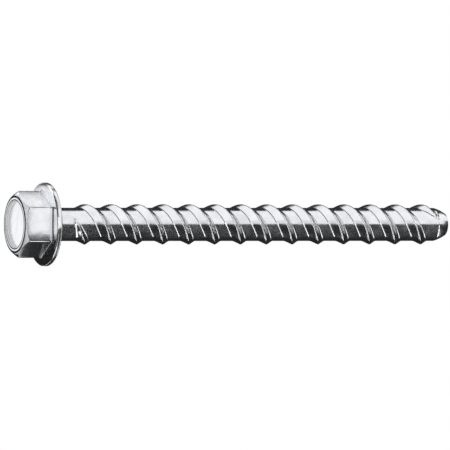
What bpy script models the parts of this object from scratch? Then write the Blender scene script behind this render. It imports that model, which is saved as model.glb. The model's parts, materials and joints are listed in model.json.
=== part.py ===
"""A concrete screw with a hexagonal washer head and a coarse two-start thread.

The screw is one piece of steel. It stands on its head: the origin is the centre of the head face, and +Z runs
up the shank to the tip. Two opposite corners of the hexagon lie on the X axis. Everything is in metres.
"""

import math

import bmesh
import bpy

# Head
ACROSS_FLATS = 0.01111
HEAD_HEIGHT = 0.0067
CHAMFER_DIAMETER = 0.0109
CHAMFER_ANGLE = math.radians(43)
RECESS_DIAMETER = 0.0091
RECESS_DEPTH = 0.00055
RECESS_WALL_LEAN = math.radians(10)

# Washer flange, forged in one with the head
FLANGE_DIAMETER = 0.0159
FLANGE_RIM_THICKNESS = 0.001
FLANGE_SLOPE = math.radians(4)
FLANGE_EDGE_RADIUS = 0.00028

# Shank, from the bearing face under the flange to the end of the tip
LENGTH_UNDER_HEAD = 0.08255
SHANK_DIAMETER = 0.00635
NECK_FILLET_RADIUS = 0.0008

# Thread ridge: its start and its first crest are counted from the bearing face
THREAD_DIAMETER = 0.0077
THREAD_STARTS = 2
CREST_SPACING = 0.00538
THREAD_START = 0.0043
THREAD_RUN_IN = 0.0030
THREAD_RUN_OUT = 0.0015
FIRST_CREST = 0.0077
HEAD_SIDE_FLANK = 0.00167
TIP_SIDE_FLANK = 0.00111
SLIMMEST_RIDGE = 0.12

# Blunt tip
TIP_LENGTH = 0.00235
TIP_END_DIAMETER = 0.0042
TIP_BULGE = math.radians(9.5)

# Facets: the hexagon's corners fall on columns, so their number is a multiple of its sides
HEX_SIDES = 6
COLUMNS = 10 * HEX_SIDES
EDGE_STEPS = 3
FILLET_STEPS = 4
TIP_STEPS = 5
SMOOTH_UP_TO = math.radians(28)

# Places worked out from the sizes above
SHANK_RADIUS = SHANK_DIAMETER / 2
RIDGE_HEIGHT = (THREAD_DIAMETER - SHANK_DIAMETER) / 2
CORNER_RADIUS = ACROSS_FLATS / math.sqrt(3)
TIP_Z = HEAD_HEIGHT + LENGTH_UNDER_HEAD
TIP_SHOULDER_Z = TIP_Z - TIP_LENGTH
THREAD_START_Z = HEAD_HEIGHT + THREAD_START
CLIMB = THREAD_STARTS * CREST_SPACING / COLUMNS
THREAD_END_Z = TIP_SHOULDER_Z - 2 * SLIMMEST_RIDGE * TIP_SIDE_FLANK - CLIMB
FIRST_CREST_Z = HEAD_HEIGHT + FIRST_CREST


def clear_scene():
    for old in list(bpy.data.objects):
        bpy.data.objects.remove(old, do_unlink=True)


def zinc_plated_steel():
    """Bright zinc plate, the usual finish of such a screw."""
    material = bpy.data.materials.new("zinc_plated_steel")
    material.use_nodes = True
    shader = material.node_tree.nodes["Principled BSDF"]
    shader.inputs["Base Color"].default_value = (0.64, 0.65, 0.66, 1)
    shader.inputs["Metallic"].default_value = 1
    shader.inputs["Roughness"].default_value = 0.3
    return material


def arc(centre_r, centre_z, radius, start, end, steps):
    """Profile points (radius from the screw's axis, height) along an arc of a circle."""
    angles = [start + (end - start) * step / steps for step in range(steps + 1)]
    return [(centre_r + radius * math.cos(a), centre_z + radius * math.sin(a)) for a in angles]


def column_point(column, radius, z):
    angle = 2 * math.pi * column / COLUMNS
    return radius * math.cos(angle), radius * math.sin(angle), z


def ring(bm, radius, z):
    return [bm.verts.new(column_point(column, radius, z)) for column in range(COLUMNS)]


def bridge(bm, lower, upper):
    """A band of faces between two rings, the first of them nearer the start of the profile."""
    for column in range(COLUMNS):
        after = (column + 1) % COLUMNS
        bm.faces.new((lower[column], lower[after], upper[after], upper[column]))


def turned(bm, profile):
    """The rings of a profile turned about Z, with bands between them; the first and last are returned."""
    rings = [ring(bm, radius, z) for radius, z in profile]
    for lower, upper in zip(rings, rings[1:]):
        bridge(bm, lower, upper)
    return rings[0], rings[-1]


def turned_solid(name, profile):
    """A closed solid turned about Z, with a flat face at each end of its profile."""
    bm = bmesh.new()
    first, last = turned(bm, profile)
    bm.faces.new(reversed(first))
    bm.faces.new(last)
    return object_from(name, bm)


def object_from(name, bm):
    mesh = bpy.data.meshes.new(name)
    bm.to_mesh(mesh)
    bm.free()
    made = bpy.data.objects.new(name, mesh)
    bpy.context.scene.collection.objects.link(made)
    return made


def ridge_share(crest_z):
    """How much of the ridge stands at a height of its crest: none at the thread's two ends, all between."""
    risen = (crest_z - THREAD_START_Z) / THREAD_RUN_IN
    left = (THREAD_END_Z - crest_z) / THREAD_RUN_OUT
    return max(0.0, min(1.0, risen, left))


def ridge_points(column):
    """The ridges that a column crosses, from the head up: for each, its two feet with its crest between.

    Each point has a name, the number of its crest and its place on the ridge, which is the same in every
    column that the ridge crosses on its way round. A ridge begins and ends flat, one column out.
    """
    first_z = FIRST_CREST_Z + column * CLIMB
    lowest = math.ceil((THREAD_START_Z - CLIMB - first_z) / CREST_SPACING)
    highest = math.floor((THREAD_END_Z + CLIMB - first_z) / CREST_SPACING)
    points = []
    for crest in range(lowest, highest + 1):
        crest_z = first_z + crest * CREST_SPACING
        share = ridge_share(crest_z)
        width = max(share, SLIMMEST_RIDGE)
        points.append(((crest, "head foot"), SHANK_RADIUS, crest_z - HEAD_SIDE_FLANK * width))
        points.append(((crest, "crest"), SHANK_RADIUS + RIDGE_HEIGHT * share, crest_z))
        points.append(((crest, "tip foot"), SHANK_RADIUS, crest_z + TIP_SIDE_FLANK * width))
    return points


def zip_columns(bm, left, right):
    """Faces between two columns: a quad where both reach the same next point, a triangle where one is ahead."""
    left_names = {name for name, _ in left}
    right_names = {name for name, _ in right}
    i = j = 0
    while i + 1 < len(left) or j + 1 < len(right):
        left_next = left[i + 1] if i + 1 < len(left) else None
        right_next = right[j + 1] if j + 1 < len(right) else None
        if left_next and left_next[0] not in right_names:
            bm.faces.new((left[i][1], right[j][1], left_next[1]))
            i += 1
        elif right_next and right_next[0] not in left_names:
            bm.faces.new((left[i][1], right[j][1], right_next[1]))
            j += 1
        else:
            bm.faces.new((left[i][1], right[j][1], right_next[1], left_next[1]))
            i += 1
            j += 1


def threaded_length(bm, below, above):
    """The shank between two rings, with its ridges raised where they run from column to column."""
    ridges = []
    for column in range(COLUMNS):
        points = ridge_points(column)
        ridges.append([(name, bm.verts.new(column_point(column, radius, z))) for name, radius, z in points])
    # After a whole turn the first column is met again, where each crest has the number it left with
    ridges.append([((crest - THREAD_STARTS, place), vertex) for (crest, place), vertex in ridges[0]])
    for column in range(COLUMNS):
        after = (column + 1) % COLUMNS
        left = [("below", below[column]), *ridges[column], ("above", above[column])]
        right = [("below", below[after]), *ridges[column + 1], ("above", above[after])]
        zip_columns(bm, left, right)


def flange_profile():
    """From under the hexagon out over the flange's face, round its rim and in along the bearing face."""
    rim_r = FLANGE_DIAMETER / 2 - FLANGE_EDGE_RADIUS
    rim_face_z = HEAD_HEIGHT - FLANGE_RIM_THICKNESS
    rise = (rim_r - SHANK_RADIUS) * math.tan(FLANGE_SLOPE)
    face = [(SHANK_RADIUS, rim_face_z - rise)]
    front_edge = arc(rim_r, rim_face_z + FLANGE_EDGE_RADIUS, FLANGE_EDGE_RADIUS, -math.pi / 2, 0, EDGE_STEPS)
    back_edge = arc(rim_r, HEAD_HEIGHT - FLANGE_EDGE_RADIUS, FLANGE_EDGE_RADIUS, 0, math.pi / 2, EDGE_STEPS)
    return face + front_edge + back_edge


def neck_profile():
    """The fillet from the bearing face up into the shank, and the plain neck to the start of the thread."""
    centre_r = SHANK_RADIUS + NECK_FILLET_RADIUS
    centre_z = HEAD_HEIGHT + NECK_FILLET_RADIUS
    fillet = arc(centre_r, centre_z, NECK_FILLET_RADIUS, -math.pi / 2, -math.pi, FILLET_STEPS)
    margin = 2 * SLIMMEST_RIDGE * HEAD_SIDE_FLANK + CLIMB
    return fillet + [(SHANK_RADIUS, THREAD_START_Z - margin)]


def tip_profile():
    """The bulging taper from the shoulder, where the thread ends, down to the blunt end."""
    taper = SHANK_RADIUS - TIP_END_DIAMETER / 2
    lean = math.atan2(taper, TIP_LENGTH)
    bow = math.hypot(taper, TIP_LENGTH) / (2 * math.sin(TIP_BULGE))
    start = lean - TIP_BULGE
    centre_r = SHANK_RADIUS - bow * math.cos(start)
    centre_z = TIP_SHOULDER_Z - bow * math.sin(start)
    return arc(centre_r, centre_z, bow, start, lean + TIP_BULGE, TIP_STEPS)


def flange_and_shank():
    bm = bmesh.new()
    front, neck = turned(bm, flange_profile() + neck_profile())
    shoulder, end = turned(bm, tip_profile())
    threaded_length(bm, neck, shoulder)
    bm.faces.new(reversed(front))
    bm.faces.new(end)
    return object_from("concrete_screw", bm)


def hexagon():
    """The hexagonal bar of the head, from the head face into the flange."""
    inside_flange = HEAD_HEIGHT - FLANGE_RIM_THICKNESS / 2
    bm = bmesh.new()
    corners = [column_point(side * COLUMNS / HEX_SIDES, CORNER_RADIUS, 0) for side in range(HEX_SIDES)]
    face = bm.faces.new([bm.verts.new(corner) for corner in reversed(corners)])
    grown = bmesh.ops.extrude_face_region(bm, geom=[face])["geom"]
    top = [item for item in grown if isinstance(item, bmesh.types.BMVert)]
    bmesh.ops.translate(bm, verts=top, vec=(0, 0, inside_flange))
    bmesh.ops.recalc_face_normals(bm, faces=bm.faces)
    return object_from("hexagon", bm)


def chamfer_blank():
    """The turned outline that rounds the hexagon's front corners off to a circle on the head face."""
    clear_r = CORNER_RADIUS + FLANGE_RIM_THICKNESS
    depth = (clear_r - CHAMFER_DIAMETER / 2) * math.tan(CHAMFER_ANGLE)
    return turned_solid(
        "chamfer_blank", [(CHAMFER_DIAMETER / 2, 0), (clear_r, depth), (clear_r, HEAD_HEIGHT)]
    )


def recess_cutter():
    """The shallow dish in the head face, a little narrower at its floor."""
    lean = math.tan(RECESS_WALL_LEAN)
    floor_r = RECESS_DIAMETER / 2 - RECESS_DEPTH * lean
    outside_r = RECESS_DIAMETER / 2 + RECESS_DEPTH * lean
    return turned_solid("recess_cutter", [(outside_r, -RECESS_DEPTH), (floor_r, RECESS_DEPTH)])


def shape_with(target, tool, operation):
    """Joins a tool body to the target, cuts it out, or keeps only what both share."""
    modifier = target.modifiers.new(tool.name, "BOOLEAN")
    modifier.operation = operation
    modifier.object = tool
    tool.hide_render = True
    tool.display_type = "WIRE"


def main():
    clear_scene()
    head = hexagon()
    shape_with(head, chamfer_blank(), "INTERSECT")
    shape_with(head, recess_cutter(), "DIFFERENCE")
    screw = flange_and_shank()
    shape_with(screw, head, "UNION")
    screw.data.materials.append(zinc_plated_steel())
    screw.data.shade_smooth()
    screw.data.set_sharp_from_angle(angle=SMOOTH_UP_TO)


main()
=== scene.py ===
"""The concrete screw's fine surface and its zinc plate, in a plain pale studio.

The screw stands on its head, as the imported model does: the origin is the centre of the head face and +Z runs
up the shank to the tip. Everything is in metres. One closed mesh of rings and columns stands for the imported
solid. Geometry nodes wind the threaded shank, and the head and the tip are turned on to its two ends.
"""

import json
import math

import bmesh
import bpy
from mathutils import Matrix, Vector


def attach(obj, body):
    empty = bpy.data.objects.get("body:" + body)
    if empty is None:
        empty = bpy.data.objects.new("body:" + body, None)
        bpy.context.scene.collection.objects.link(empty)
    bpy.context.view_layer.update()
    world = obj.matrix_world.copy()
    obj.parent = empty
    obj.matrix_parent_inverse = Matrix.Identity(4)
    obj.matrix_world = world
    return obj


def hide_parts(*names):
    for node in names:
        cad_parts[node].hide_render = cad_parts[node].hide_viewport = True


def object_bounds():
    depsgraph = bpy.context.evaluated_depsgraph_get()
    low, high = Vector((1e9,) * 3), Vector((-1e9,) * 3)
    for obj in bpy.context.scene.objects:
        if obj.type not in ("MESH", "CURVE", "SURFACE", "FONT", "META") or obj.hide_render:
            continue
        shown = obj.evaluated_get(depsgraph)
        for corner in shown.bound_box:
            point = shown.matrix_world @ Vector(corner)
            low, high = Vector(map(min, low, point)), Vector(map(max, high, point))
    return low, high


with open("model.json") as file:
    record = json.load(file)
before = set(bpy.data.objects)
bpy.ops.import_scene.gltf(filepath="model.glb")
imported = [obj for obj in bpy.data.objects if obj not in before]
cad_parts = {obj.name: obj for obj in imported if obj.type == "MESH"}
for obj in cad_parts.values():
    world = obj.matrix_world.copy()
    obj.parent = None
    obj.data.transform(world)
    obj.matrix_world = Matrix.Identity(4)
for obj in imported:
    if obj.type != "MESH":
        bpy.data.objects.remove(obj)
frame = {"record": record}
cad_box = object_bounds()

NODE = "concrete_screw"


def mount_point(name):
    """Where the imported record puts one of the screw's faces."""
    return next(Vector(mount["pos_m"]) for mount in frame["record"]["mounts"] if mount["name"] == name)


# Overall sizes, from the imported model
FLANGE_RADIUS = cad_box[1].x
TIP_Z = cad_box[1].z
HEAD_HEIGHT = mount_point("bearing_face").z
APOTHEM = mount_point("wrench_flat_back").y

# Head: the hexagon, its chamfer and the dish in its face
HEX_SIDES = 6
SECTOR = 2 * math.pi / HEX_SIDES
HEX_CORNER_ROUNDING = 0.00035
CHAMFER_RADIUS = 0.00545
CHAMFER_SLOPE = math.tan(math.radians(43))
CHAMFER_EDGE_ROUNDING = 0.00014
FACE_EDGE_ROUNDING = 0.00022
RECESS_RADIUS = 0.00455
RECESS_DEPTH = 0.00055
RECESS_WALL_LEAN = math.tan(math.radians(10))
RECESS_RIM_ROUNDING = 0.00009
RECESS_FLOOR_ROUNDING = 0.00018

# Washer flange
FLANGE_RIM_THICKNESS = 0.001
FLANGE_SLOPE = math.tan(math.radians(4))
FLANGE_EDGE_ROUNDING = 0.00028
FLANGE_ROOT_ROUNDING = 0.00032

# Shank and thread ridges
SHANK_RADIUS = 0.003175
NECK_ROUNDING = 0.0008
RIDGE_HEIGHT = 0.000675
THREAD_STARTS = 2
CREST_SPACING = 0.00538
LEAD = THREAD_STARTS * CREST_SPACING
FIRST_CREST_Z = HEAD_HEIGHT + 0.0077
THREAD_START_Z = HEAD_HEIGHT + 0.0043
THREAD_RUN_IN = 0.0030
THREAD_RUN_OUT = 0.0015
HEAD_SIDE_FLANK = 0.00167
TIP_SIDE_FLANK = 0.00111
SLIMMEST_RIDGE = 0.12
CREST_ROUNDING = 0.00035
FOOT_ROUNDING = 0.00018
# The share of its own size that the rounding takes off the crest
CREST_LOSS = 1 / 6
# The part of a ridge that keeps a whole number of ridges from being taken as just under it
RIDGE_TOLERANCE = 0.001

# Blunt tip
TIP_SHOULDER_Z = TIP_Z - 0.00235
TIP_END_RADIUS = 0.0021
TIP_BULGE = math.radians(9.5)
TIP_STEPS = 12
TIP_EDGE_ROUNDING = 0.0002
THREAD_END_Z = TIP_SHOULDER_Z - 0.00045

# The mesh: columns run from the head to the tip, and crowd towards the rounded corners of the hexagon
COLUMNS = 30 * HEX_SIDES
CORNER_CROWDING = 0.2
SHANK_LOWER_Z = HEAD_HEIGHT + NECK_ROUNDING
MERGE_DISTANCE = 1e-6
STRAIGHT_TURN = 1e-4
LONGEST_ROUNDING = 0.46

# Rows round the shank for each ridge, and where they lie from its crest, with the share of the rows used up
# to there: close together on the two feet and the crest, wide apart on the flanks and the plain root
ROWS_PER_RIDGE = 26
ROW_PLACES = [
    (-0.00200, 0.0),
    (-0.00135, 6 / ROWS_PER_RIDGE),
    (-0.00022, 9 / ROWS_PER_RIDGE),
    (0.00022, 15 / ROWS_PER_RIDGE),
    (0.00085, 17 / ROWS_PER_RIDGE),
    (0.00142, 22 / ROWS_PER_RIDGE),
    (CREST_SPACING - 0.00200, 1.0),
]

# Inputs of the tree that winds the shank
SHANK_INPUTS = {
    "Columns": COLUMNS,
    "Rows Per Ridge": ROWS_PER_RIDGE,
    "Ridges Before First": 4,
    "Ridges": 19,
    "Shank Radius": SHANK_RADIUS,
    "Ridge Height": RIDGE_HEIGHT,
    "Crest Spacing": CREST_SPACING,
    "Thread Starts": THREAD_STARTS,
    "First Crest": FIRST_CREST_Z,
    "Head Side Flank": HEAD_SIDE_FLANK,
    "Tip Side Flank": TIP_SIDE_FLANK,
    "Slimmest Ridge": SLIMMEST_RIDGE,
    "Crest Rounding": CREST_ROUNDING,
    "Foot Rounding": FOOT_ROUNDING,
    "Thread Start": THREAD_START_Z,
    "Run In": THREAD_RUN_IN,
    "Thread End": THREAD_END_Z,
    "Run Out": THREAD_RUN_OUT,
    "Lower End": SHANK_LOWER_Z,
    "Upper End": TIP_SHOULDER_Z,
}

# Zinc plate: colours as light values, and the sizes of its marks
BRIGHT_ZINC = (0.735, 0.742, 0.755, 1)
DULL_ZINC = (0.625, 0.640, 0.668, 1)
WORN_ZINC = (0.790, 0.793, 0.798, 1)
# Painted shade: the darker colour that hollows and corners are given
PAINTED_SHADE_ZINC = (0.545, 0.552, 0.560, 1)
CLOUD_SIZE = 0.0022
GRAIN_SIZE = 0.0003
CLOUD_DEPTH = 0.000006
GRAIN_DEPTH = 0.0000008
CLOUD_DETAIL = 3
FINE_DETAIL = 2
NOISE_ROUGHNESS = 0.55
CLOUD_EDGES = (0.32, 0.68)
LINE_EDGES = (0.3, 0.7)
LINES_IN_SHADE = 0.35
FLOW_STRETCH = 8
HELIX_STRETCH = 40

# Wear of the plate and painted shade in its hollows, by how far the surface bends, and what they and the
# clouds do to the roughness
BEND_UNIT = 0.0005
BEND_SMOOTHINGS = 2
WORN_BEND = (0.30, 0.95)
PAINTED_SHADE_BEND = (-0.15, -0.80)
WEAR_PATCH_SIZE = CLOUD_SIZE / 2
WEAR_PATCHES = (0.3, 0.6)
LEAST_WEAR = 0.35
CLEAR_ROUGHNESS = 0.03
CLOUD_ROUGHNESS = -0.06
HOLLOW_ROUGHNESS = 0.12
WORN_ROUGHNESS = -0.04

# The view: the screw's axis lies level in the picture, 67 degrees from the line of sight, the head nearer
VIEW_TILT = math.radians(67)
IMAGE_RIGHT = Vector((0, -math.cos(VIEW_TILT), math.sin(VIEW_TILT)))
IMAGE_UP = Vector((-1, 0, 0))
TO_CAMERA = IMAGE_RIGHT.cross(IMAGE_UP)
METRES_PER_PIXEL = 0.0001914
PICTURE_SIDE = 450
MIDDLE_PIXEL = Vector((246.9, 224.4))
LENS = 1000
SENSOR = 36
# Where the view starts and ends, as shares of the camera's distance
CLIP_START = 0.1
CLIP_END = 3

# Studio
FLOOR_DROP = 0.00003
FLOOR_RADIUS = 5.0
FLOOR_HOLE_RADIUS = 0.0053
FLOOR_RING_RADIUS = 0.0318
FLOOR_SIDES = 64
FLOOR_COLOUR = (0.8, 0.8, 0.8, 1)
FLOOR_GLOW = 0.38
AMBIENT = 0.55
KEY_FROM = Vector((-0.85, -0.2, 0.5))
KEY_STRENGTH = 1.5
KEY_ANGLE = math.radians(40)
WHITE = (1, 1, 1, 1)
ALL_ROUND = (0, 360)

# Cards that only the metal shows, by azimuth from +X towards +Y and by the elevations of their lower and
# upper edge at the first and at the last azimuth, in degrees. Each hangs a little nearer than the one before.
CARD_DISTANCE = 8.0
CARD_STEP = 0.02
CARD_COLUMNS = 32
CARD_ROWS = 8
LIT = 1.27
STRONG = 1.8
DAZZLING = 2.5
BLACK = 0.02
SKY_CARDS = [
    ("bright_side", (130, 268), (14, 74), (14, 74), LIT),
    ("dark_side", (-92, 130), (-3, 90), (-3, 90), BLACK),
    ("dark_side_edge", (130, 163), (-1, 38), (-1, 38), BLACK),
    ("dark_top", (130, 268), (74, 90), (74, 90), BLACK),
    ("bright_side_end_high", (183, 240), (75, 76), (62, 76), BLACK),
    ("bright_side_end", (240, 268), (62, 76), (30, 76), BLACK),
    ("bright_side_line_low", (163, 268), (-1, 14), (-1, 14), BLACK),
    ("bright_side_line_high", (130, 268), (31, 48), (31, 42), BLACK),
    ("dark_side_line_low", (-92, 12), (-3, 8), (-3, 8), DAZZLING),
    ("dark_side_line_high", (-92, -20), (34, 40), (34, 49), DAZZLING),
    ("dark_side_line_high_end", (-20, 18), (34, 49), (33, 44), DAZZLING),
]
# Small cards round the head and over the tip, by azimuth, and by distance from the axis and height in metres
CARD_RING = 0.016
OUTER_CARD_RING = 0.017
NEAR_CARDS = [
    ("front_flat_card", (-105.5, -83), CARD_RING, (0.0048, 0.0105), LIT),
    ("front_flat_shade", (-83, -71.5), CARD_RING, (0.0048, 0.0105), BLACK),
    ("upper_flat_card", (163, 178), CARD_RING, (0.0035, 0.0112), LIT),
    ("upper_edge_card", (207, 237), CARD_RING, (0.0048, 0.0090), BLACK),
    ("lower_edge_card", (-41, -12), CARD_RING, (0.0048, 0.0090), STRONG),
    ("upper_root_card", (140, 180), OUTER_CARD_RING, (0.0029, 0.0050), BLACK),
    ("lower_root_card", (0, 40), CARD_RING, (0.0038, 0.0049), STRONG),
    ("upper_tip_card", (180, 266), CARD_RING, (0.1023, 0.1315), LIT),
]
# Cards that lie on the floor, by azimuth and by distance from the screw's axis in metres
FLOOR_CARD_Z = -0.00001
NEAR_FLOOR = (0.0066, 0.03)
FAR_FLOOR = (0.03, FLOOR_RADIUS)
FLOOR_CARDS = [
    ("dark_floor", (-70, 90), FAR_FLOOR, BLACK),
    ("dark_floor_near", (-50, 90), NEAR_FLOOR, BLACK),
    ("bright_floor", (130, 268), FAR_FLOOR, LIT),
    ("bright_floor_near", (92, 158), NEAR_FLOOR, LIT),
    ("upper_root_floor", (158, 190), NEAR_FLOOR, STRONG),
    ("bright_floor_front", (254, 280), (0.0115, 0.03), STRONG),
    ("front_root_floor", (254, 280), (0.0066, 0.0115), BLACK),
    ("rim_edge_floor", (190, 254), NEAR_FLOOR, BLACK),
    ("front_end_floor", (280, 310), NEAR_FLOOR, BLACK),
    ("face_edge_floor", ALL_ROUND, (0.0052, 0.0056), BLACK),
    ("recess_edge_floor", ALL_ROUND, (0.00455, 0.0048), BLACK),
]
# The dark card that the edge of the flange's front shows at the top, over angles round the flange in degrees
FLANGE_FRONT_EDGE = 0.0074
FLANGE_EDGE_ANGLES = (-225, -152)
FLANGE_EDGE_REACH = 0.016
# The small window under the head face, with a dark surround, and how far it lies below the face
WINDOW_DROP = 0.0004
WINDOW_RADIUS = 0.0051
SURROUND_RADIUS = 0.0150


def uniform_angle(column):
    """The angle of a column where they lie evenly round the screw."""
    return 2 * math.pi * column / COLUMNS


def crowded_angle(column):
    """The angle of a column on the hexagon, whose corners lie at the middle of each sixth of the columns."""
    side, part = divmod(column + COLUMNS / HEX_SIDES / 2, COLUMNS / HEX_SIDES)
    t = 2 * part / (COLUMNS / HEX_SIDES) - 1
    return SECTOR * (side + (CORNER_CROWDING * t + (1 - CORNER_CROWDING) * t**3) / 2)


def hexagon_radius(angle):
    """How far the rounded hexagon's side is from the axis."""
    off_corner = abs((angle + SECTOR / 2) % SECTOR - SECTOR / 2)
    centre = (APOTHEM - HEX_CORNER_ROUNDING) / math.cos(SECTOR / 2)
    reach = centre + HEX_CORNER_ROUNDING * math.cos(SECTOR / 2)
    rounded_up_to = math.atan2(HEX_CORNER_ROUNDING * math.sin(SECTOR / 2), reach)
    if off_corner > rounded_up_to:
        return APOTHEM / math.cos(SECTOR / 2 - off_corner)
    aside = centre * math.sin(off_corner)
    return centre * math.cos(off_corner) + math.sqrt(HEX_CORNER_ROUNDING**2 - aside**2)


def rounded_corner(before, corner, after, radius, steps):
    """Points on the arc that rounds a corner of a profile, no longer than its two sides leave room for."""
    into = corner - before
    out = after - corner
    turn = into.angle_signed(out)
    if abs(turn) < STRAIGHT_TURN or not steps:
        return [corner]
    longest = LONGEST_ROUNDING * min(into.length, out.length)
    reach = min(radius * math.tan(abs(turn) / 2), longest)
    arc_radius = reach / math.tan(abs(turn) / 2)
    start = corner - into.normalized() * reach
    to_centre = Vector((into.y, -into.x)).normalized() * math.copysign(arc_radius, turn)
    centre = start + to_centre
    return [centre + Matrix.Rotation(-turn * step / steps, 2) @ (start - centre) for step in range(steps + 1)]


def rounded_profile(corners):
    """A profile of straight sides and arcs. A corner is (radius, height, rounding, arc steps, rows after it).

    Beside its point, each row says how far it has come: 1.25 is a quarter of the way from corner 1 to 2.
    """
    places = [Vector(corner[:2]) for corner in corners]
    arcs = [[places[0]]]
    for i in range(1, len(corners) - 1):
        arcs.append(rounded_corner(places[i - 1], places[i], places[i + 1], corners[i][2], corners[i][3]))
    arcs.append([places[-1]])
    rows = []
    for i, arc in enumerate(arcs):
        rows += [(float(i), point) for point in arc]
        if i + 1 < len(arcs):
            count = corners[i][4]
            start, end = arc[-1], arcs[i + 1][0]
            rows += [(i + step / count, start.lerp(end, step / count)) for step in range(1, count)]
    return rows


# Corners of the head's profile, counted from the middle of the dish
RECESS_RIM_CORNER = 2
CHAMFER_EDGE_CORNER = 4
HEX_ROOT_CORNER = 5
RIM_CORNER = 6
NECK_CORNER = 8


def head_corners(hex_r):
    """The head's profile, from the middle of the dish to the foot of the neck fillet."""
    front_z = HEAD_HEIGHT - FLANGE_RIM_THICKNESS
    root_z = front_z - (FLANGE_RADIUS - hex_r) * FLANGE_SLOPE
    return [
        (0.0, RECESS_DEPTH, 0, 0, 5),
        (RECESS_RADIUS - RECESS_DEPTH * RECESS_WALL_LEAN, RECESS_DEPTH, RECESS_FLOOR_ROUNDING, 4, 2),
        (RECESS_RADIUS, 0.0, RECESS_RIM_ROUNDING, 4, 4),
        (CHAMFER_RADIUS, 0.0, FACE_EDGE_ROUNDING, 4, 2),
        (hex_r, (hex_r - CHAMFER_RADIUS) * CHAMFER_SLOPE, CHAMFER_EDGE_ROUNDING, 4, 8),
        (hex_r, root_z, FLANGE_ROOT_ROUNDING, 5, 7),
        (FLANGE_RADIUS, front_z, FLANGE_EDGE_ROUNDING, 6, 2),
        (FLANGE_RADIUS, HEAD_HEIGHT, FLANGE_EDGE_ROUNDING, 6, 7),
        (SHANK_RADIUS, HEAD_HEIGHT, NECK_ROUNDING, 8, 1),
        (SHANK_RADIUS, SHANK_LOWER_Z, 0, 0, 1),
    ]


def crowding(progress):
    """How far a row's columns are moved to the hexagon's own angles: wholly on it, and less beside it."""
    rising = progress - RECESS_RIM_CORNER
    falling = RIM_CORNER - progress
    return max(0.0, min(1.0, rising, falling))


def head_surface(progress):
    """The finish of the band after a row of the head."""
    if progress < CHAMFER_EDGE_CORNER:
        return "stamped_face"
    if progress < HEX_ROOT_CORNER:
        return "forged_hexagon"
    if progress < NECK_CORNER:
        return "pressed_flange"
    return "rolled_shank"


def head_rings():
    """The head's rings of points, from the middle of the dish up, and the finish of the band after each."""
    columns = []
    for column in range(COLUMNS):
        plain, crowded = uniform_angle(column), crowded_angle(column)
        rows = rounded_profile(head_corners(hexagon_radius(crowded)))
        points = []
        for progress, (radius, z) in rows:
            angle = plain + (crowded - plain) * crowding(progress)
            points.append((radius * math.cos(angle), radius * math.sin(angle), z))
        columns.append(points)
    return [list(ring) for ring in zip(*columns)], [head_surface(progress) for progress, _ in rows]


def tip_rings():
    """The bulging taper from the shank to the blunt end, and the end's flat face."""
    taper = SHANK_RADIUS - TIP_END_RADIUS
    length = TIP_Z - TIP_SHOULDER_Z
    lean = math.atan2(taper, length)
    bow = math.hypot(taper, length) / (2 * math.sin(TIP_BULGE))
    to_shoulder = Vector((math.cos(lean - TIP_BULGE), math.sin(lean - TIP_BULGE)))
    centre = Vector((SHANK_RADIUS, TIP_SHOULDER_Z)) - bow * to_shoulder
    corners = [(SHANK_RADIUS, TIP_SHOULDER_Z, 0, 0, 1)]
    for step in range(1, TIP_STEPS):
        angle = lean - TIP_BULGE + 2 * TIP_BULGE * step / TIP_STEPS
        point = centre + bow * Vector((math.cos(angle), math.sin(angle)))
        corners.append((point.x, point.y, 0, 0, 1))
    corners.append((TIP_END_RADIUS, TIP_Z, TIP_EDGE_ROUNDING, 5, 5))
    corners.append((0.0, TIP_Z, 0, 0, 1))
    rings = []
    for _, (radius, z) in rounded_profile(corners):
        angles = [uniform_angle(column) for column in range(COLUMNS)]
        rings.append([(radius * math.cos(a), radius * math.sin(a), z) for a in angles])
    return rings, ["cut_tip"] * len(rings)


class Tree:
    """A node tree with short ways to add its nodes and link them."""

    def __init__(self, tree):
        self.tree = tree

    def node(self, kind, **settings):
        made = self.tree.nodes.new(kind)
        for name, value in settings.items():
            setattr(made, name, value)
        return made

    def feed(self, socket, value):
        if isinstance(value, bpy.types.NodeSocket):
            self.tree.links.new(value, socket)
        else:
            socket.default_value = value

    def feed_all(self, node, **values):
        """Feeds a node's inputs by name, with _ for each space."""
        for name, value in values.items():
            self.feed(node.inputs[name.replace("_", " ")], value)
        return node

    def math(self, operation, *values):
        made = self.node("ShaderNodeMath", operation=operation)
        for socket, value in zip(made.inputs, values):
            self.feed(socket, value)
        return made.outputs[0]

    def scaled(self, vector, factors):
        made = self.node("ShaderNodeVectorMath", operation="MULTIPLY")
        self.feed(made.inputs[0], vector)
        self.feed(made.inputs[1], factors)
        return made.outputs[0]

    def combine(self, x, y, z):
        made = self.node("ShaderNodeCombineXYZ")
        for socket, value in zip(made.inputs, (x, y, z)):
            self.feed(socket, value)
        return made.outputs[0]

    def separate(self, vector):
        made = self.node("ShaderNodeSeparateXYZ")
        self.feed(made.inputs[0], vector)
        return made.outputs

    def ramp(self, value, start, end, low=0.0, high=1.0):
        """Runs from low to high, and no further, as the value goes from start to end."""
        made = self.node("ShaderNodeMapRange", clamp=True)
        self.feed_all(made, Value=value, From_Min=start, From_Max=end, To_Min=low, To_Max=high)
        return made.outputs[0]

    def noise(self, vector, size, detail):
        made = self.node("ShaderNodeTexNoise", noise_dimensions="3D")
        self.feed_all(made, Vector=vector, Scale=self.math("DIVIDE", 1.0, size))
        self.feed_all(made, Detail=detail, Roughness=NOISE_ROUGHNESS)
        return made.outputs["Fac"]

    def blend(self, share, first, second):
        made = self.node("ShaderNodeMix", data_type="RGBA")
        self.feed(made.inputs["Factor"], share)
        self.feed(made.inputs["A"], first)
        self.feed(made.inputs["B"], second)
        return made.outputs["Result"]


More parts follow.
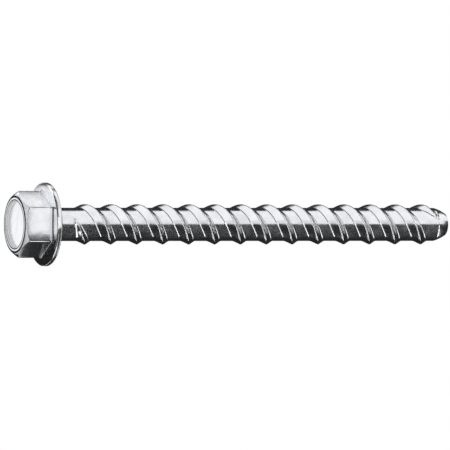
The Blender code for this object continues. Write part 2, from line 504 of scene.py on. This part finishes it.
def new_group(name, kind, inputs, outputs):
    """An empty node group with named inputs and outputs, given as socket kinds by name."""
    group = bpy.data.node_groups.new(name, kind)
    for label, socket in inputs.items():
        group.interface.new_socket(label, in_out="INPUT", socket_type="NodeSocket" + socket)
    for label, socket in outputs.items():
        group.interface.new_socket(label, in_out="OUTPUT", socket_type="NodeSocket" + socket)
    tree = Tree(group)
    return tree, tree.node("NodeGroupInput").outputs, tree.node("NodeGroupOutput")


def row_place(tree, share):
    """From the share of a ridge's rows to the distance from its crest, in straight runs between places."""
    place = ROW_PLACES[0][0]
    for (start, begun), (end, ended) in zip(ROW_PLACES, ROW_PLACES[1:]):
        place = tree.math("ADD", place, tree.ramp(share, begun, ended, high=end - start))
    return place


def ridge_height_at(tree, given, from_crest, crest_z):
    """The height of the rounded ridge over the shank. Its two flanks meet at a crest and fade at its ends."""
    risen = tree.math("DIVIDE", tree.math("SUBTRACT", crest_z, given["Thread Start"]), given["Run In"])
    left = tree.math("DIVIDE", tree.math("SUBTRACT", given["Thread End"], crest_z), given["Run Out"])
    share = tree.math("MAXIMUM", tree.math("MINIMUM", tree.math("MINIMUM", risen, left), 1.0), 0.0)
    width = tree.math("MAXIMUM", share, given["Slimmest Ridge"])
    # The flanks meet higher than the finished crest, by what its rounding takes off
    peak = tree.math("MULTIPLY_ADD", given["Crest Rounding"], CREST_LOSS, given["Ridge Height"])
    height = tree.math("MULTIPLY", peak, share)
    head_run = tree.math("MULTIPLY", given["Head Side Flank"], width)
    tip_run = tree.math("MULTIPLY", given["Tip Side Flank"], width)
    head_share = tree.math("ADD", tree.math("DIVIDE", from_crest, head_run), 1.0)
    tip_share = tree.math("SUBTRACT", 1.0, tree.math("DIVIDE", from_crest, tip_run))
    head_flank = tree.math("MULTIPLY", height, head_share)
    tip_flank = tree.math("MULTIPLY", height, tip_share)
    crest_rounding = tree.math("MULTIPLY", given["Crest Rounding"], share)
    foot_rounding = tree.math("MULTIPLY", given["Foot Rounding"], share)
    ridge = tree.math("SMOOTH_MIN", head_flank, tip_flank, crest_rounding)
    return tree.math("SMOOTH_MAX", ridge, 0.0, foot_rounding)


def shank_tree():
    """A grid wound into the shank: its columns run along the screw and its rows follow the ridges round."""
    kinds = {name: "Int" if isinstance(value, int) else "Float" for name, value in SHANK_INPUTS.items()}
    kinds["Surface"] = "Material"
    tree, given, result = new_group("threaded_shank", "GeometryNodeTree", kinds, {"Geometry": "Geometry"})

    rows = tree.math("MULTIPLY", given["Ridges"], given["Rows Per Ridge"])
    grid = tree.node("GeometryNodeMeshGrid")
    tree.feed_all(grid, Size_X=given["Columns"], Size_Y=rows)
    tree.feed_all(grid, Vertices_X=tree.math("ADD", given["Columns"], 1.0))
    tree.feed_all(grid, Vertices_Y=tree.math("ADD", rows, 1.0))

    across, along, _ = tree.separate(tree.node("GeometryNodeInputPosition").outputs[0])
    column = tree.math("MULTIPLY_ADD", given["Columns"], 0.5, across)
    row = tree.math("ROUND", tree.math("MULTIPLY_ADD", rows, 0.5, along))
    turns = tree.math("DIVIDE", column, given["Columns"])
    ridges = tree.math("DIVIDE", row, given["Rows Per Ridge"])
    ridge = tree.math("FLOOR", tree.math("ADD", ridges, RIDGE_TOLERANCE))
    from_crest = row_place(tree, tree.math("SUBTRACT", ridges, ridge))

    crests_up = tree.math("SUBTRACT", ridge, given["Ridges Before First"])
    crests_up = tree.math("MULTIPLY_ADD", turns, given["Thread Starts"], crests_up)
    crest_z = tree.math("MULTIPLY_ADD", crests_up, given["Crest Spacing"], given["First Crest"])
    height = ridge_height_at(tree, given, from_crest, crest_z)
    radius = tree.math("ADD", given["Shank Radius"], height)
    angle = tree.math("MULTIPLY", turns, 2 * math.pi)
    z = tree.math("MAXIMUM", tree.math("ADD", crest_z, from_crest), given["Lower End"])
    z = tree.math("MINIMUM", z, given["Upper End"])
    x = tree.math("MULTIPLY", radius, tree.math("COSINE", angle))
    y = tree.math("MULTIPLY", radius, tree.math("SINE", angle))

    place = tree.feed_all(tree.node("GeometryNodeSetPosition"), Geometry=grid.outputs["Mesh"])
    tree.feed_all(place, Position=tree.combine(x, y, z))
    merge = tree.node("GeometryNodeMergeByDistance")
    tree.feed_all(merge, Geometry=place.outputs[0], Distance=MERGE_DISTANCE)
    real = tree.feed_all(tree.node("GeometryNodeRealizeInstances"), Geometry=merge.outputs[0])
    paint = tree.node("GeometryNodeSetMaterial")
    tree.feed_all(paint, Geometry=real.outputs[0], Material=given["Surface"])
    tree.feed_all(result, Geometry=paint.outputs[0])
    return tree.tree


def threaded_shank(surface):
    """The shank with its two ridges, as a plain mesh that is open at both ends."""
    group = shank_tree()
    holder = bpy.data.objects.new("shank_holder", bpy.data.meshes.new("shank_holder"))
    bpy.context.scene.collection.objects.link(holder)
    winding = holder.modifiers.new("threaded_shank", "NODES")
    winding.node_group = group
    sockets = {item.name: item.identifier for item in group.interface.items_tree if item.in_out == "INPUT"}
    for name, value in SHANK_INPUTS.items():
        winding[sockets[name]] = value
    winding[sockets["Surface"]] = surface
    evaluated = holder.evaluated_get(bpy.context.evaluated_depsgraph_get())
    mesh = bpy.data.meshes.new_from_object(evaluated)
    holder.modifiers.remove(winding)
    bpy.data.objects.remove(holder)
    return mesh


def plate_clouds_group():
    """Cloudy patches and fine grain of zinc plate."""
    inputs = {"Place": "Vector", "Cloud Size": "Float", "Grain Size": "Float"}
    outputs = {"Clouds": "Float", "Grain": "Float"}
    tree, given, result = new_group("plate_clouds", "ShaderNodeTree", inputs, outputs)
    clouds = tree.ramp(tree.noise(given["Place"], given["Cloud Size"], CLOUD_DETAIL), *CLOUD_EDGES)
    tree.feed_all(result, Clouds=clouds, Grain=tree.noise(given["Place"], given["Grain Size"], FINE_DETAIL))
    return tree.tree


def forming_lines_group():
    """Fine lines that the dies leave along the metal's flow. Flow is the place, shrunk along that flow."""
    inputs = {"Flow": "Vector", "Line Width": "Float"}
    tree, given, result = new_group("forming_lines", "ShaderNodeTree", inputs, {"Lines": "Float"})
    lines = tree.noise(given["Flow"], given["Line Width"], FINE_DETAIL)
    tree.feed_all(result, Lines=tree.ramp(lines, *LINE_EDGES))
    return tree.tree


def wear_and_painted_shade_group():
    """Where the plate is rubbed bright, on edges that bend out, and a painted shade that darkens it in corners
    and hollows, where the surface bends in.
    """
    inputs = {"Place": "Vector", "Patch Size": "Float"}
    outputs = {"Worn": "Float", "Sheltered": "Float"}
    tree, given, result = new_group("wear_and_painted_shade", "ShaderNodeTree", inputs, outputs)
    bend = tree.node("ShaderNodeAttribute", attribute_name="bend").outputs["Fac"]
    patches = tree.noise(given["Place"], given["Patch Size"], FINE_DETAIL)
    uneven = tree.ramp(patches, *WEAR_PATCHES, low=LEAST_WEAR)
    worn = tree.math("MULTIPLY", tree.ramp(bend, *WORN_BEND), uneven)
    # The second mask is painted shade, strongest where the surface bends in the most
    tree.feed_all(result, Worn=worn, Sheltered=tree.ramp(bend, *PAINTED_SHADE_BEND))
    return tree.tree


def helix_flow(tree, place):
    """The place on a circle that one lead of the thread goes round, so that lines follow the ridges."""
    x, y, z = tree.separate(place)
    turns = tree.math("DIVIDE", tree.math("ARCTAN2", y, x), 2 * math.pi)
    phase = tree.math("MULTIPLY", tree.math("SUBTRACT", tree.math("DIVIDE", z, LEAD), turns), 2 * math.pi)
    circle = LEAD / (2 * math.pi)
    across = tree.math("MULTIPLY", tree.math("COSINE", phase), circle)
    along = tree.math("MULTIPLY", tree.math("SINE", phase), circle)
    return tree.combine(across, along, tree.math("DIVIDE", z, HELIX_STRETCH))


def axial_flow(tree, place):
    """Lines along the screw, as the trimmed sides of the hexagon have."""
    return tree.scaled(place, (1, 1, 1 / FLOW_STRETCH))


def radial_flow(tree, place):
    """Lines outwards from the axis, as metal runs when a flange is pressed out."""
    x, y, _ = tree.separate(place)
    radius = tree.math("SQRT", tree.math("ADD", tree.math("MULTIPLY", x, x), tree.math("MULTIPLY", y, y)))
    across = tree.math("MULTIPLY", tree.math("DIVIDE", x, radius), FLANGE_RADIUS)
    along = tree.math("MULTIPLY", tree.math("DIVIDE", y, radius), FLANGE_RADIUS)
    return tree.combine(across, along, tree.math("DIVIDE", radius, FLOW_STRETCH))


def sideways_flow(tree, place):
    """Lines across the screw, as a shear leaves."""
    return tree.scaled(place, (1 / FLOW_STRETCH, 1, 1))


# Each finish: the flow of its lines, their width and depth, and its roughness
FINISHES = {
    "rolled_shank": (helix_flow, 0.00022, 0.0000015, 0.17),
    "forged_hexagon": (axial_flow, 0.00018, 0.0000012, 0.19),
    "pressed_flange": (radial_flow, 0.00030, 0.0000012, 0.20),
    "stamped_face": (sideways_flow, 0.00040, 0.0000006, 0.20),
    "cut_tip": (sideways_flow, 0.00020, 0.0000020, 0.21),
}


def zinc_finish(name, groups):
    """Bright zinc plate over metal formed in one way."""
    flow, line_width, line_depth, roughness = FINISHES[name]
    material = bpy.data.materials.new(name + "_zinc")
    material.use_nodes = True
    tree = Tree(material.node_tree)
    place = tree.node("ShaderNodeTexCoord").outputs["Object"]
    plate = tree.node("ShaderNodeGroup", node_tree=groups["plate_clouds"])
    tree.feed_all(plate, Place=place, Cloud_Size=CLOUD_SIZE, Grain_Size=GRAIN_SIZE)
    marks = tree.node("ShaderNodeGroup", node_tree=groups["forming_lines"])
    tree.feed_all(marks, Flow=flow(tree, place), Line_Width=line_width)
    wear_and_shade = tree.node("ShaderNodeGroup", node_tree=groups["wear_and_painted_shade"])
    tree.feed_all(wear_and_shade, Place=place, Patch_Size=WEAR_PATCH_SIZE)
    clouds, grain, lines = plate.outputs["Clouds"], plate.outputs["Grain"], marks.outputs["Lines"]
    worn, painted_shade = wear_and_shade.outputs["Worn"], wear_and_shade.outputs["Sheltered"]

    shade = tree.math("MULTIPLY", clouds, 1 - LINES_IN_SHADE)
    shade = tree.math("MULTIPLY_ADD", lines, LINES_IN_SHADE, shade)
    colour = tree.blend(shade, DULL_ZINC, BRIGHT_ZINC)
    # Painted shade: the colour darkens in hollows and corners, and below the plate is made rougher there too
    colour = tree.blend(painted_shade, colour, PAINTED_SHADE_ZINC)
    colour = tree.blend(worn, colour, WORN_ZINC)
    rough = tree.math("MULTIPLY_ADD", clouds, CLOUD_ROUGHNESS, roughness + CLEAR_ROUGHNESS)
    rough = tree.math("MULTIPLY_ADD", painted_shade, HOLLOW_ROUGHNESS, rough)
    rough = tree.math("MULTIPLY_ADD", worn, WORN_ROUGHNESS, rough)
    height = tree.math("MULTIPLY", clouds, CLOUD_DEPTH)
    height = tree.math("MULTIPLY_ADD", grain, GRAIN_DEPTH, height)
    height = tree.math("MULTIPLY_ADD", lines, line_depth, height)
    bump = tree.feed_all(tree.node("ShaderNodeBump"), Height=height, Distance=1.0, Strength=1.0)

    shader = material.node_tree.nodes["Principled BSDF"]
    tree.feed_all(shader, Base_Color=colour, Roughness=rough, Metallic=1.0, Normal=bump.outputs[0])
    return material


def add_rings(bm, rings, surfaces):
    """Bands of faces from ring to ring. A ring on the axis becomes one point when the doubles are merged."""
    made = [[bm.verts.new(point) for point in ring] for ring in rings]
    names = list(FINISHES)
    for lower, upper, surface in zip(made, made[1:], surfaces):
        for column in range(COLUMNS):
            after = (column + 1) % COLUMNS
            face = bm.faces.new((lower[column], lower[after], upper[after], upper[column]))
            face.material_index = names.index(surface)


def mark_bends(bm):
    """Writes how far the surface bends out, above zero, or in, below zero, at each point of the mesh."""
    layer = bm.verts.layers.float.new("bend")
    for vert in bm.verts:
        bends = []
        for edge in vert.link_edges:
            step = edge.other_vert(vert).co - vert.co
            bends.append(-2 * step.dot(vert.normal) / step.length_squared)
        vert[layer] = BEND_UNIT * sum(bends) / len(bends)
    for _ in range(BEND_SMOOTHINGS):
        smoothed = []
        for vert in bm.verts:
            around = [edge.other_vert(vert)[layer] for edge in vert.link_edges]
            smoothed.append((vert[layer] + sum(around) / len(around)) / 2)
        for vert, value in zip(bm.verts, smoothed):
            vert[layer] = value


def leaning_normals(bm):
    """Normals that lean to the larger faces, so that flats look flat right up to their roundings."""
    normals = []
    for vert in bm.verts:
        total = Vector()
        for face in vert.link_faces:
            total += face.normal * face.calc_area()
        normals.append(total.normalized())
    return normals


def screw_piece():
    """The whole screw as one closed mesh, with a finish for each way in which its metal was formed."""
    groups = {
        "plate_clouds": plate_clouds_group(),
        "forming_lines": forming_lines_group(),
        "wear_and_painted_shade": wear_and_painted_shade_group(),
    }
    materials = [zinc_finish(name, groups) for name in FINISHES]
    bm = bmesh.new()
    bm.from_mesh(threaded_shank(materials[0]))
    add_rings(bm, *head_rings())
    add_rings(bm, *tip_rings())
    bmesh.ops.remove_doubles(bm, verts=bm.verts, dist=2 * MERGE_DISTANCE)
    bmesh.ops.recalc_face_normals(bm, faces=bm.faces)
    bm.normal_update()
    mark_bends(bm)
    normals = leaning_normals(bm)
    mesh = bpy.data.meshes.new("plated_screw")
    bm.to_mesh(mesh)
    bm.free()
    for material in materials:
        mesh.materials.append(material)
    mesh.shade_smooth()
    mesh.normals_split_custom_set_from_vertices(normals)
    piece = bpy.data.objects.new("plated_screw", mesh)
    bpy.context.scene.collection.objects.link(piece)
    return piece


def seen_directly(tree):
    """One for rays that show a surface as it looks, straight or in metal or glass, and zero for its light."""
    path = tree.node("ShaderNodeLightPath").outputs
    seen = tree.math("MAXIMUM", path["Is Camera Ray"], path["Is Glossy Ray"])
    return tree.math("MAXIMUM", seen, path["Is Transmission Ray"])


def floor_material():
    """Pale and matt from above, and clear from below, where the camera of the main view is."""
    material = bpy.data.materials.new("pale_floor")
    material.use_nodes = True
    material.node_tree.nodes.clear()
    tree = Tree(material.node_tree)
    glow = tree.node("ShaderNodeEmission")
    tree.feed_all(glow, Color=WHITE, Strength=tree.math("MULTIPLY", seen_directly(tree), FLOOR_GLOW))
    matt = tree.feed_all(tree.node("ShaderNodeBsdfDiffuse"), Color=FLOOR_COLOUR)
    both = tree.node("ShaderNodeAddShader")
    tree.feed(both.inputs[0], glow.outputs[0])
    tree.feed(both.inputs[1], matt.outputs[0])
    side = tree.node("ShaderNodeMixShader")
    tree.feed(side.inputs[0], tree.node("ShaderNodeNewGeometry").outputs["Backfacing"])
    tree.feed(side.inputs[1], both.outputs[0])
    tree.feed(side.inputs[2], tree.node("ShaderNodeBsdfTransparent").outputs[0])
    tree.feed_all(tree.node("ShaderNodeOutputMaterial"), Surface=side.outputs[0])
    return material


def glow_material(name, level):
    """An even white glow."""
    material = bpy.data.materials.new(name)
    material.use_nodes = True
    material.node_tree.nodes.clear()
    tree = Tree(material.node_tree)
    glow = tree.feed_all(tree.node("ShaderNodeEmission"), Color=WHITE, Strength=level)
    tree.feed_all(tree.node("ShaderNodeOutputMaterial"), Surface=glow.outputs[0])
    return material


def stage_piece(name, rows, material):
    """A piece of the studio, as a grid of faces through rows of points."""
    bm = bmesh.new()
    made = [[bm.verts.new(point) for point in row] for row in rows]
    for lower, upper in zip(made, made[1:]):
        for step in range(len(lower) - 1):
            bm.faces.new((lower[step], upper[step], upper[step + 1], lower[step + 1]))
    mesh = bpy.data.meshes.new(name)
    bm.to_mesh(mesh)
    bm.free()
    mesh.materials.append(material)
    studio_piece = bpy.data.objects.new(name, mesh)
    bpy.context.scene.collection.objects.link(studio_piece)
    return studio_piece


def add_card(name, rows, level):
    """A studio card that only the metal shows."""
    card = stage_piece(name, rows, glow_material(name, level))
    card.visible_camera = False
    card.visible_diffuse = False
    card.visible_shadow = False


def evenly(ends, count):
    """Numbers from one end to the other, in equal steps."""
    return [ends[0] + (ends[1] - ends[0]) * step / count for step in range(count + 1)]


def direction(azimuth, elevation):
    """The unit vector to an azimuth and an elevation in degrees."""
    a, e = math.radians(azimuth), math.radians(elevation)
    return Vector((math.cos(a) * math.cos(e), math.sin(a) * math.cos(e), math.sin(e)))


def arc_points(azimuths, radius, z, count=CARD_COLUMNS):
    """Points round the screw's axis at one height, from one azimuth to the other."""
    return [radius * direction(azimuth, 0) + Vector((0, 0, z)) for azimuth in evenly(azimuths, count)]


def add_floor():
    """Open under the head, which stands in the opening's place."""
    radii = (FLOOR_HOLE_RADIUS, FLOOR_RING_RADIUS, FLOOR_RADIUS)
    rows = [arc_points(ALL_ROUND, radius, -FLOOR_DROP, FLOOR_SIDES) for radius in radii]
    stage_piece("floor", rows, floor_material())


def add_world():
    """White wherever it is seen, and dimmer in the light that it gives."""
    world = bpy.data.worlds.new("studio")
    world.use_nodes = True
    world.node_tree.nodes.clear()
    tree = Tree(world.node_tree)
    strength = tree.math("MULTIPLY_ADD", seen_directly(tree), 1 - AMBIENT, AMBIENT)
    background = tree.feed_all(tree.node("ShaderNodeBackground"), Color=WHITE, Strength=strength)
    tree.feed_all(tree.node("ShaderNodeOutputWorld"), Surface=background.outputs[0])
    bpy.context.scene.world = world


def add_key():
    """A broad soft sun that gives the floor its shadow. The metal shows the cards instead of it."""
    data = bpy.data.lights.new("key", "SUN")
    data.energy = KEY_STRENGTH
    data.angle = KEY_ANGLE
    key = bpy.data.objects.new("key", data)
    key.rotation_mode = "QUATERNION"
    key.rotation_quaternion = KEY_FROM.to_track_quat("Z", "Y")
    key.visible_glossy = False
    bpy.context.scene.collection.objects.link(key)


def add_cards():
    """The cards far round the screw, the small ones near its head and tip, and those on the floor."""
    centre = Vector((0, 0, TIP_Z / 2))
    for i, (name, azimuths, first, last, level) in enumerate(SKY_CARDS):
        columns = []
        for step, azimuth in enumerate(evenly(azimuths, CARD_COLUMNS)):
            edges = [a + (b - a) * step / CARD_COLUMNS for a, b in zip(first, last)]
            columns.append([direction(azimuth, elevation) for elevation in evenly(edges, CARD_ROWS)])
        distance = CARD_DISTANCE - i * CARD_STEP
        add_card(name, [[centre + distance * towards for towards in column] for column in columns], level)
    for name, azimuths, distance, heights, level in NEAR_CARDS:
        add_card(name, [arc_points(azimuths, distance, z) for z in heights], level)
    for name, azimuths, radii, level in FLOOR_CARDS:
        add_card(name, [arc_points(azimuths, radius, FLOOR_CARD_Z) for radius in radii], level)


def shown_by_flange(angle):
    """Where the camera sees the floor in the front of the flange, near its edge at an angle round it."""
    outwards = direction(angle, 0)
    slope = math.atan(FLANGE_SLOPE)
    normal = outwards * math.sin(slope) - Vector((0, 0, math.cos(slope)))
    seen = (-TO_CAMERA).reflect(normal)
    height = HEAD_HEIGHT - FLANGE_RIM_THICKNESS
    return outwards * FLANGE_FRONT_EDGE - seen * height / seen.z + Vector((0, 0, height + FLOOR_CARD_Z / 2))


def add_flange_edge():
    """A dark card that follows the flange's edge as the camera sees it in the flange's front."""
    edge = [shown_by_flange(angle) for angle in evenly(FLANGE_EDGE_ANGLES, CARD_COLUMNS)]
    add_card("flange_edge_floor", [edge, [point + FLANGE_EDGE_REACH * IMAGE_UP for point in edge]], BLACK)


def add_window():
    """A lit round window with a dark edge, so that the head face shows pale with a dark rim."""
    middle = Vector((0, WINDOW_DROP * math.tan(VIEW_TILT), -WINDOW_DROP))
    for name, radii, level in (
        ("face_window", (MERGE_DISTANCE, WINDOW_RADIUS), LIT),
        ("face_window_surround", (WINDOW_RADIUS, SURROUND_RADIUS), BLACK),
    ):
        rows = [[middle + point for point in arc_points(ALL_ROUND, radius, 0)] for radius in radii]
        add_card(name, rows, level)


def add_camera():
    """On the head's side, far off and below the floor, which is clear from there."""
    aside = (Vector((PICTURE_SIDE, PICTURE_SIDE)) / 2 - MIDDLE_PIXEL) * METRES_PER_PIXEL
    middle = Vector((0, 0, (HEAD_HEIGHT + TIP_Z) / 2))
    target = middle + IMAGE_RIGHT * aside.x - IMAGE_UP * aside.y
    data = bpy.data.cameras.new("camera")
    data.lens = LENS
    data.sensor_width = SENSOR
    distance = PICTURE_SIDE * METRES_PER_PIXEL * LENS / SENSOR
    data.clip_start = CLIP_START * distance
    data.clip_end = CLIP_END * distance
    camera = bpy.data.objects.new("camera", data)
    turn = Matrix((IMAGE_RIGHT, IMAGE_UP, TO_CAMERA)).transposed()
    camera.matrix_world = Matrix.Translation(target + TO_CAMERA * distance) @ turn.to_4x4()
    bpy.context.scene.collection.objects.link(camera)
    bpy.context.scene.camera = camera


piece = screw_piece()
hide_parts(NODE)
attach(piece, "root")

add_world()
add_floor()
add_key()
add_cards()
add_flange_edge()
add_window()
add_camera()
bpy.context.scene.view_settings.view_transform = "Standard"
